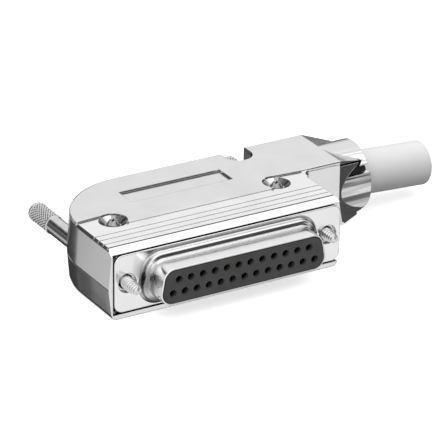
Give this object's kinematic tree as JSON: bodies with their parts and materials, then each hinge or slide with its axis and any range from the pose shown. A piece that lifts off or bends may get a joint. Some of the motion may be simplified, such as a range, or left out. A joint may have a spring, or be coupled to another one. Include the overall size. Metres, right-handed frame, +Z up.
{
  "type": "d-sub connector",
  "caption": "D-shaped multi-way cable connector with socket contacts, two-part plated metal hood, captive knurled jackscrews and side cable exit.",
  "frame": {"origin": "centre of the connector flange's front face, midway between the two jackscrews", "axes": "+X towards the cable exit, +Y from the mating face into the hood, +Z up through the hood's top"},
  "size_m": [0.0894, 0.0479, 0.0156],
  "materials": {
    "hood": "nickel-plated zinc die casting, bright",
    "hood_screw": "plated steel",
    "shell": "tin-plated drawn steel, bright",
    "insulator": "dark grey glass-filled thermoplastic",
    "jackscrew": "nickel-plated turned steel, knurled head",
    "ring": "spring steel",
    "jacket": "pale grey flexible vinyl",
    "shield": "tinned braid",
    "conductors": "insulated stranded wire",
    "crimp": "plain crimped metal ring",
    "bushing": "black rubber",
    "contact": "gold-flashed copper alloy"
  },
  "bodies": {
    "housing": {"hood_upper": "hood", "hood_lower": "hood", "hood_screw_left": "hood_screw", "hood_screw_right": "hood_screw", "front_shell": "shell", "rear_shell": "shell", "front_insulator": "insulator", "rear_insulator": "insulator", "cable_jacket": "jacket", "cable_shield": "shield", "conductors": "conductors", "crimp_ring": "crimp", "cable_bushing": "bushing", "contact_01": "contact", "contact_02": "contact", "contact_03": "contact", "contact_04": "contact", "contact_05": "contact", "contact_06": "contact", "contact_07": "contact", "contact_08": "contact", "contact_09": "contact", "contact_10": "contact", "contact_11": "contact", "contact_12": "contact", "contact_13": "contact", "contact_14": "contact", "contact_15": "contact", "contact_16": "contact", "contact_17": "contact", "contact_18": "contact", "contact_19": "contact", "contact_20": "contact", "contact_21": "contact", "contact_22": "contact", "contact_23": "contact", "contact_24": "contact", "contact_25": "contact"},
    "left_ring": {"retaining_ring_left": "ring"},
    "left_jackscrew": {"jackscrew_left": "jackscrew"},
    "right_ring": {"retaining_ring_right": "ring"},
    "right_jackscrew": {"jackscrew_right": "jackscrew"}
  },
  "joints": [
    {"name": "left_slide", "type": "slide", "parent": "housing", "child": "left_ring", "axis": [0, 1, 0], "range_m": [-0.0008, 0.0039]},
    {"name": "left_turn", "type": "hinge", "parent": "left_ring", "child": "left_jackscrew", "pos_m": [-0.02352, 0, 0], "axis": [0, 1, 0], "continuous": true},
    {"name": "right_slide", "type": "slide", "parent": "housing", "child": "right_ring", "axis": [0, 1, 0], "range_m": [-0.0023, 0.0024]},
    {"name": "right_turn", "type": "hinge", "parent": "right_ring", "child": "right_jackscrew", "pos_m": [0.02352, 0, 0], "axis": [0, 1, 0], "continuous": true}
  ]
}
